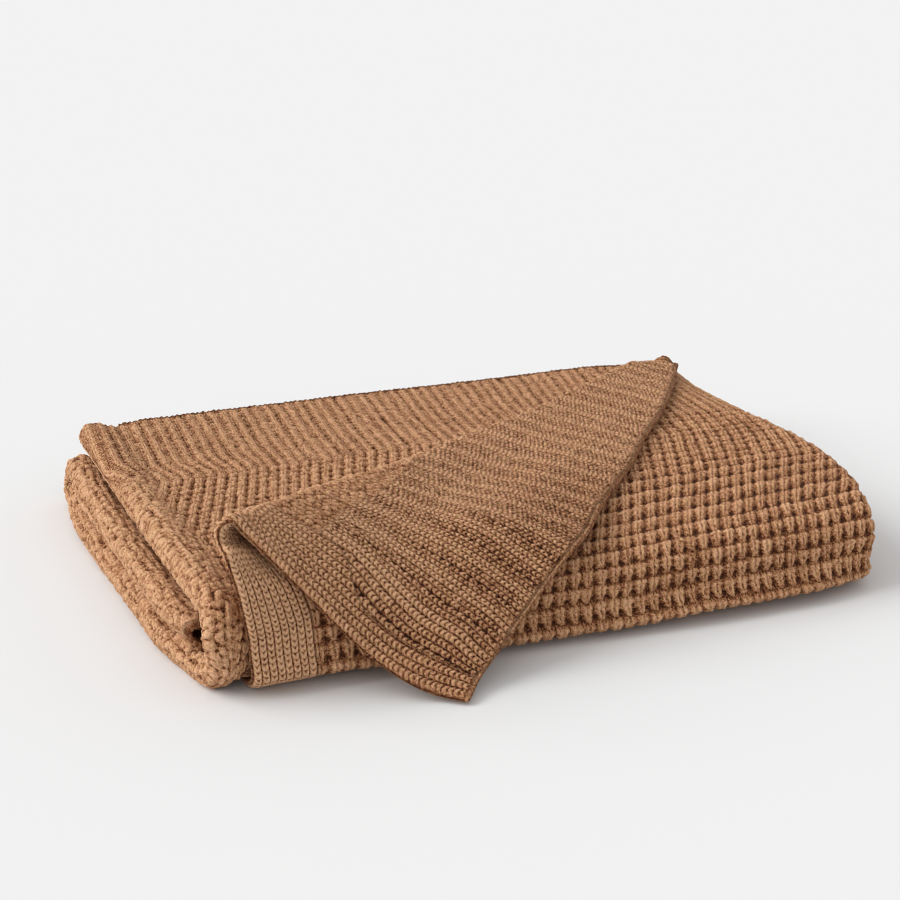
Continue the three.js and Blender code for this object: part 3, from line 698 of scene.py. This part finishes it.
def positions():
    fine = {}
    for side, sign, h in ((0, 1, RIGHT), (1, -1, WRONG)):
        # vertices that only coarse tiles use lie on the relief's mean
        near = np.zeros((NX, NY), bool)
        for a in range(TX):
            for b in np.nonzero(FINE[side][a] <= 2)[0]:
                near[a * 8 : a * 8 + 9, b * 8 : b * 8 + 9] = True
        use = np.where(near, h, 1.45)
        fine[side] = (ease(settle(MID + NORMAL * (sign * (BASE + use))[..., None])), use)
    return fine


FACE = positions()
for side in (0, 1):
    FACE[side][0][..., 2] = np.maximum(FACE[side][0][..., 2], 0.0)


# ------------------------------------------------------------ cutting pieces out of the grid
def polygon_side(start, stop, own, other):
    """Grid places along one side of a face, with those that a finer neighbour has."""
    size = min(own, other)
    n = max(1, max(abs(stop[0] - start[0]), abs(stop[1] - start[1])) // size)
    return [(start[0] + (stop[0] - start[0]) * k // n, start[1] + (stop[1] - start[1]) * k // n) for k in range(n)]


def make_piece(name, member):
    """One closed piece of the sheet from the tiles of member (TX by TY, true or false)."""
    ids, co, tone, faces = {}, [], [], []

    def vertex(side, i, j):
        key = (side, i, j)
        if key not in ids:
            ids[key] = len(co)
            co.append(FACE[side][0][i, j])
            tone.append(TONE[side][i, j])
        return ids[key]

    def fineness(side, a, b, own):
        if not (0 <= a < TX and 0 <= b < TY):
            return 1                                    # an edge of the cloth is always cut fine
        return FINE[side][a, b] if member[a, b] else own

    where = np.argwhere(member)
    for side in (0, 1):
        for a, b in where:
            s = int(FINE[side][a, b])
            i0, j0 = int(a) * 8, int(b) * 8
            if s == 1:
                continue
            left, right_, up, down = (fineness(side, a - 1, b, s), fineness(side, a + 1, b, s), fineness(side, a, b - 1, s), fineness(side, a, b + 1, s))
            for p in range(0, 8, s):
                for q in range(0, 8, s):
                    i, j = i0 + p, j0 + q
                    ring = polygon_side((i, j), (i, j + s), s, left if p == 0 else s)
                    ring += polygon_side((i, j + s), (i + s, j + s), s, down if q + s == 8 else s)
                    ring += polygon_side((i + s, j + s), (i + s, j), s, right_ if p + s == 8 else s)
                    ring += polygon_side((i + s, j), (i, j), s, up if q == 0 else s)
                    if side == 1:
                        ring.reverse()
                    faces.append([vertex(side, *r) for r in ring])
    # the fine tiles, all at once
    quads = []
    for side in (0, 1):
        sel = np.argwhere(member & (FINE[side] == 1))
        if not len(sel):
            continue
        p, q = np.meshgrid(np.arange(8), np.arange(8), indexing="ij")
        i = (sel[:, 0, None, None] * 8 + p).ravel()
        j = (sel[:, 1, None, None] * 8 + q).ravel()
        corners = [(i, j), (i, j + 1), (i + 1, j + 1), (i + 1, j)]
        if side == 1:
            corners.reverse()
        keys = np.stack([c[0] * NY + c[1] for c in corners], 1)
        table = np.full(NX * NY, -1, np.int64)
        for (sd, x, y), k in ids.items():
            if sd == side:
                table[x * NY + y] = k
        need = np.unique(keys)
        new = need[table[need] < 0]
        table[new] = len(co) + np.arange(len(new))
        xs, ys = new // NY, new % NY
        for x, y, k in zip(xs.tolist(), ys.tolist(), table[new].tolist()):
            ids[(side, x, y)] = k
        co.extend(FACE[side][0][xs, ys])
        tone.extend(TONE[side][xs, ys])
        quads.append(table[keys])
    # walls: rounded where the cloth ends, plain where the next piece goes on
    def chain(i0, j0, i1, j1, size):
        n = max(abs(i1 - i0), abs(j1 - j0)) // size
        return [(i0 + (i1 - i0) * k // n, j0 + (j1 - j0) * k // n) for k in range(n + 1)]

    rims = {}

    def rim(i, j, di, dj, k):
        """Point k (1, 2, 3) of 4 round the edge of the cloth, from the right side to the wrong side."""
        key = (i, j, k)
        if key not in rims:
            top, low = FACE[0][0][i, j], FACE[1][0][i, j]
            mid = (top + low) / 2
            inner = SEEN[min(max(i - di, 0), NX - 1), min(max(j - dj, 0), NY - 1)]
            out = SEEN[i, j] - inner
            out = out / max(np.linalg.norm(out), 1e-9)
            angle = math.pi * k / 4
            pos = mid + (top - mid) * math.cos(angle) + out * EDGE_ROUND * math.sin(angle)
            pos[2] = max(pos[2], 0.0)
            rims[key] = len(co)
            co.append(pos)
            tone.append(max(1.7, 0.5 * (TONE[0][i, j] + TONE[1][i, j])))
        return rims[key]

    borders = (((-1, 0), (0, 0, 0, 8)), ((1, 0), (8, 8, 8, 0)), ((0, -1), (8, 0, 0, 0)), ((0, 1), (0, 8, 8, 8)))
    for a, b in where:
        for (da, db), (p0, q0, p1, q1) in borders:
            na, nb = a + da, b + db
            free = not (0 <= na < TX and 0 <= nb < TY)
            if not free and member[na, nb]:
                continue
            i0, j0, i1, j1 = int(a) * 8 + p0, int(b) * 8 + q0, int(a) * 8 + p1, int(b) * 8 + q1
            if free:
                line = chain(i0, j0, i1, j1, 1)
                for s, e in zip(line[:-1], line[1:]):
                    ladder_s = [vertex(0, *s)] + [rim(*s, da, db, k) for k in (1, 2, 3)] + [vertex(1, *s)]
                    ladder_e = [vertex(0, *e)] + [rim(*e, da, db, k) for k in (1, 2, 3)] + [vertex(1, *e)]
                    for k in range(4):
                        faces.append([ladder_e[k], ladder_s[k], ladder_s[k + 1], ladder_e[k + 1]])
            else:
                tops = chain(i0, j0, i1, j1, int(FINE[0][a, b]))
                lows = chain(i0, j0, i1, j1, int(FINE[1][a, b]))
                ring = [vertex(0, *v) for v in reversed(tops)]
                for end, turn, into in ((tops[0], (1, 2, 3), True), (tops[-1], (3, 2, 1), False)):
                    # where the wall meets an edge of the cloth it takes in the rounded rim
                    edge = (-1 if end[0] == 0 else 1 if end[0] == NX - 1 else 0, -1 if end[1] == 0 else 1 if end[1] == NY - 1 else 0)
                    more = [rim(*end, *edge, k) for k in turn] if any(edge) else []
                    ring += more + ([vertex(1, *v) for v in lows] if into else [])
                faces.append(ring)
    co = (np.array(co) - np.array([ORIGIN[0], ORIGIN[1], 0.0])) / 1000.0
    quads = np.concatenate(quads) if quads else np.zeros((0, 4), int)
    sizes = np.concatenate([np.array([len(f) for f in faces], int), np.full(len(quads), 4)])
    loops = np.concatenate([np.array([v for f in faces for v in f], int), quads.ravel()])
    mesh = bpy.data.meshes.new(name)
    mesh.vertices.add(len(co))
    mesh.vertices.foreach_set("co", co.astype(np.float32).ravel())
    mesh.loops.add(len(loops))
    mesh.loops.foreach_set("vertex_index", loops.astype(np.int32))
    mesh.polygons.add(len(sizes))
    mesh.polygons.foreach_set("loop_start", np.concatenate([[0], np.cumsum(sizes)[:-1]]).astype(np.int32))
    mesh.update(calc_edges=True)
    mesh.polygons.foreach_set("use_smooth", np.ones(len(sizes), bool))
    layer = mesh.attributes.new("tone", "FLOAT", "POINT")
    layer.data.foreach_set("value", np.array(tone, np.float32))
    # wales and courses at each place, and which side of the cloth it is on; the same grid
    # in metres is the texture map
    place_at, stitch, plain = np.zeros((len(co), 2)), np.zeros((len(co), 3)), np.zeros(len(co))
    for side, names in ((0, ("rw", "rc", "rs")), (1, ("ww", "wc", "ws"))):
        keys = np.array([(x, y, k) for (sd, x, y), k in ids.items() if sd == side], int)
        if len(keys):
            place_at[keys[:, 2]] = keys[:, :2]
            stitch[keys[:, 2], 0] = STITCH[names[0]][keys[:, 0], keys[:, 1]]
            stitch[keys[:, 2], 1] = STITCH[names[1]][keys[:, 0], keys[:, 1]]
            stitch[keys[:, 2], 2] = side
            plain[keys[:, 2]] = STITCH[names[2]][keys[:, 0], keys[:, 1]]
    for (x, y, n), k in rims.items():
        place_at[k] = x, y
        stitch[k] = STITCH["rw"][x, y], STITCH["rc"][x, y], 0
        plain[k] = 0.6
    layer = mesh.attributes.new("stitch", "FLOAT_VECTOR", "POINT")
    layer.data.foreach_set("vector", stitch.astype(np.float32).ravel())
    layer = mesh.attributes.new("plain", "FLOAT", "POINT")
    layer.data.foreach_set("value", plain.astype(np.float32))
    uv_layer = mesh.uv_layers.new(name="cloth")
    uv_layer.data.foreach_set("uv", (place_at[loops] * 0.00125).astype(np.float32).ravel())
    mesh.update()
    piece = bpy.data.objects.new(name, mesh)
    bpy.context.scene.collection.objects.link(piece)
    return piece


def flat_size(member):
    """Width, length and area in metres of a piece laid flat, from the middle of its cloth."""
    us = np.linalg.norm(np.diff(SEEN, axis=0), axis=-1)
    vs = np.linalg.norm(np.diff(SEEN, axis=1), axis=-1)
    area, wide, long_ = 0.0, [], []
    for a, b in np.argwhere(member):
        i, j = a * 8, b * 8
        u = us[i : i + 8, j : j + 9].sum(0).mean()
        v = vs[i : i + 9, j : j + 8].sum(1).mean()
        area += u * v
        wide.append((b, u))
        long_.append((a, v))
    total = lambda rows: max(sum(v for k, v in rows if k == key) for key in {k for k, _ in rows})
    w, l = total(wide) / 1000, total(long_) / 1000
    return w, l, min(area / 1e6, w * l)


# ------------------------------------------------------------ knit material
def knit_material():
    mat = bpy.data.materials.new("knit_cotton")
    mat.use_nodes = True
    nt = mat.node_tree
    nt.nodes.clear()
    out = nt.nodes.new("ShaderNodeOutputMaterial")
    bsdf = nt.nodes.new("ShaderNodeBsdfPrincipled")
    nt.links.new(bsdf.outputs["BSDF"], out.inputs["Surface"])
    bsdf.inputs["Sheen Weight"].default_value = 0.08
    bsdf.inputs["Sheen Roughness"].default_value = 0.6
    bsdf.inputs["Sheen Tint"].default_value = (1.0, 0.78, 0.6, 1)
    bsdf.inputs["Specular IOR Level"].default_value = 0.12
    coords = nt.nodes.new("ShaderNodeTexCoord")
    stretch = nt.nodes.new("ShaderNodeMapping")
    stretch.inputs["Scale"].default_value = (1.0, 0.36, 1.0)
    nt.links.new(coords.outputs["Object"], stretch.inputs["Vector"])
    tone = nt.nodes.new("ShaderNodeAttribute")
    tone.attribute_name = "tone"
    stitch = nt.nodes.new("ShaderNodeAttribute")
    stitch.attribute_name = "stitch"
    split = nt.nodes.new("ShaderNodeSeparateXYZ")
    nt.links.new(stitch.outputs["Vector"], split.inputs[0])
    wale, course, back = split.outputs

    def noise(scale, detail, rough=0.55):
        n = nt.nodes.new("ShaderNodeTexNoise")
        n.inputs["Scale"].default_value = scale
        n.inputs["Detail"].default_value = detail
        n.inputs["Roughness"].default_value = rough
        nt.links.new(stretch.outputs["Vector"], n.inputs["Vector"])
        return n.outputs["Fac"]

    def maths(op, a, b=0.0, clamp=False):
        n = nt.nodes.new("ShaderNodeMath")
        n.operation, n.use_clamp = op, clamp
        for socket, v in ((n.inputs[0], a), (n.inputs[1], b)):
            if isinstance(v, (int, float)):
                socket.default_value = v
            else:
                nt.links.new(v, socket)
        return n.outputs[0]

    add = lambda a, b, clamp=False: maths("ADD", a, b, clamp)
    sub = lambda a, b: maths("SUBTRACT", a, b)
    mul = lambda a, b: maths("MULTIPLY", a, b)

    # one strand of yarn to each course: slanting legs of a V on the right side, arcs on the wrong
    x = maths("ABSOLUTE", sub(maths("FRACT", wale), 0.5))
    slant_v = mul(x, 1.3)
    slant_arc = mul(mul(x, x), 2.6)
    slant = add(mul(slant_v, sub(1.0, back)), mul(slant_arc, back))
    wobble = mul(sub(noise(240, 1), 0.5), 0.5)
    phase = add(add(course, slant), wobble)
    strand = maths("POWER", maths("ABSOLUTE", maths("SINE", mul(phase, math.pi))), 0.8)
    inward = maths("ADD", 1.0, mul(x, -1.8), True)                                  # the gap between strands opens to the middle
    gaps = mul(sub(1.0, strand), inward)
    between = maths("POWER", mul(x, 2.0), 5.0)                      # dark line between wales: a groove in the bump, painted shade in the colour
    yarn = sub(sub(1.0, gaps), mul(between, 0.9))
    fibre = noise(780, 3, 0.7)
    fine = noise(1700, 2, 0.7)
    patch = noise(30, 2)
    shown = nt.nodes.new("ShaderNodeAttribute")
    shown.attribute_name = "plain"
    # depth of the stitch, the strands and the fibres drive the colour: deep places and the gaps between strands come
    # out darker, painted shade in the recesses
    depth = add(mul(tone.outputs["Fac"], 0.225), mul(mul(sub(yarn, 0.66), shown.outputs["Fac"]), 0.62))
    depth = add(depth, mul(sub(fibre, 0.5), 1.8))
    depth = add(depth, mul(sub(fine, 0.5), 1.05))
    depth = add(depth, mul(sub(patch, 0.5), 0.14), True)
    ramp = nt.nodes.new("ShaderNodeValToRGB")
    nt.links.new(depth, ramp.inputs["Fac"])
    e = ramp.color_ramp.elements
    e[0].position, e[0].color = 0.0, (0.045, 0.013, 0.004, 1)
    e[1].position, e[1].color = 0.95, (0.78, 0.475, 0.255, 1)
    for pos, col in ((0.17, (0.160, 0.052, 0.015, 1)), (0.36, (0.355, 0.160, 0.062, 1)), (0.60, (0.54, 0.292, 0.134, 1))):
        k = e.new(pos)
        k.color = col
    # some fibres are pinker than others
    pink = nt.nodes.new("ShaderNodeValToRGB")
    nt.links.new(depth, pink.inputs["Fac"])
    e = pink.color_ramp.elements
    e[0].position, e[0].color = 0.0, (0.050, 0.012, 0.005, 1)
    e[1].position, e[1].color = 0.95, (0.79, 0.45, 0.275, 1)
    for pos, col in ((0.17, (0.172, 0.047, 0.017, 1)), (0.36, (0.37, 0.148, 0.071, 1)), (0.60, (0.56, 0.277, 0.151, 1))):
        k = e.new(pos)
        k.color = col
    mixed = nt.nodes.new("ShaderNodeMix")
    mixed.data_type = "RGBA"
    hue = maths("ADD", mul(sub(noise(520, 2), 0.5), 4.0), 0.5, True)
    nt.links.new(hue, mixed.inputs[0])
    nt.links.new(ramp.outputs["Color"], mixed.inputs[6])
    nt.links.new(pink.outputs["Color"], mixed.inputs[7])
    nt.links.new(mixed.outputs[2], bsdf.inputs["Base Color"])
    rough = nt.nodes.new("ShaderNodeMapRange")
    nt.links.new(fibre, rough.inputs["Value"])
    rough.inputs["To Min"].default_value, rough.inputs["To Max"].default_value = 0.80, 1.0
    nt.links.new(rough.outputs["Result"], bsdf.inputs["Roughness"])

    def bump(height, strength, distance, under=None):
        n = nt.nodes.new("ShaderNodeBump")
        n.inputs["Strength"].default_value = strength
        n.inputs["Distance"].default_value = distance
        nt.links.new(height, n.inputs["Height"])
        if under is not None:
            nt.links.new(under, n.inputs["Normal"])
        return n.outputs["Normal"]

    strands = bump(mul(yarn, shown.outputs["Fac"]), 1.0, 0.0014)
    fuzz = bump(add(fibre, mul(fine, 0.5)), 0.8, 0.0016, strands)
    nt.links.new(fuzz, bsdf.inputs["Normal"])
    return mat


KNIT = knit_material()

# ------------------------------------------------------------ the pieces
def zone(i0, i1, j0, j1):
    return (ti > i0) & (ti < i1) & (tj > j0) & (tj < j1)


SPLIT_O, SPLIT_I = 232, CD + 136
PIECES = {
    "knit_turned_corner": zone(0, SPLIT_O, 0, RT),
    "knit_top_right": zone(SPLIT_O, CR, 0, RT),
    "knit_front": zone(0, CR, RT, RF),
    "knit_second_left": zone(CW, SPLIT_I, 0, RT),
    "knit_second_right": zone(SPLIT_I, CI, 0, RT),
}
rest_of_it = np.ones((TX, TY), bool)
for m in PIECES.values():
    rest_of_it &= ~m
PIECES["knit_lower_layers"] = rest_of_it
held = []
for name, member in PIECES.items():
    piece = make_piece(name, member)
    piece.data.materials.append(KNIT)
    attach(piece, "root")
    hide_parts("knit_throw")
    w, l, area = flat_size(member)
    area = min(max(area, 0.301 * w * l), w * l)
    held.append(piece)
    piece.data.calc_loop_triangles()
    print(name, "triangles", len(piece.data.loop_triangles), "flat %.3f x %.3f area %.4f" % (w, l, area))

# ------------------------------------------------------------ floor, light, camera
def plane(name, size, z=0.0):
    mesh = bpy.data.meshes.new(name)
    mesh.from_pydata([(-size, -size, z), (size, -size, z), (size, size, z), (-size, size, z)], [], [(0, 1, 2, 3)])
    o = bpy.data.objects.new(name, mesh)
    bpy.context.scene.collection.objects.link(o)
    return o


floor = plane("studio_floor", 12.0, -0.0004)
paper = bpy.data.materials.new("studio_paper")
paper.use_nodes = True
pb = paper.node_tree.nodes["Principled BSDF"]
pb.inputs["Base Color"].default_value = (0.80, 0.80, 0.80, 1)
pb.inputs["Roughness"].default_value = 1.0
pb.inputs["Specular IOR Level"].default_value = 0.0
floor.data.materials.append(paper)

scene = bpy.context.scene
world = bpy.data.worlds.new("studio")
scene.world = world
world.use_nodes = True
world.node_tree.nodes["Background"].inputs["Color"].default_value = (1.0, 1.0, 1.0, 1)
world.node_tree.nodes["Background"].inputs["Strength"].default_value = 0.72
scene.view_settings.view_transform = "Standard"
scene.view_settings.look = "None"
scene.cycles.filter_width = 1.1


sun = bpy.data.lights.new("key", "SUN")
sun.energy, sun.angle = 2.2, math.radians(50)
key = bpy.data.objects.new("key", sun)
scene.collection.objects.link(key)
key.rotation_euler = Vector((0.757, -0.338, -0.559)).to_track_quat("-Z", "Y").to_euler()

YAW, PITCH_DEG, FOCAL, EYE = -22.963719566501656, 19.62707136791714, 1800.0, (-277.70884, -1109.02016, 595.04019)
a, e = math.radians(YAW), math.radians(PITCH_DEG)
back = Vector((math.sin(a) * math.cos(e), -math.cos(a) * math.cos(e), math.sin(e)))
xaxis = Vector((0, 0, 1)).cross(back).normalized()
yaxis = back.cross(xaxis)
cam_data = bpy.data.cameras.new("camera")
cam_data.sensor_width = 36
cam_data.lens = 36 * FOCAL / 900
cam = bpy.data.objects.new("camera", cam_data)
scene.collection.objects.link(cam)
turn = Matrix((xaxis, yaxis, back)).transposed().to_4x4()
turn.translation = Vector(((EYE[0] - ORIGIN[0]) / 1000, (EYE[1] - ORIGIN[1]) / 1000, EYE[2] / 1000))
cam.matrix_world = turn
scene.camera = cam
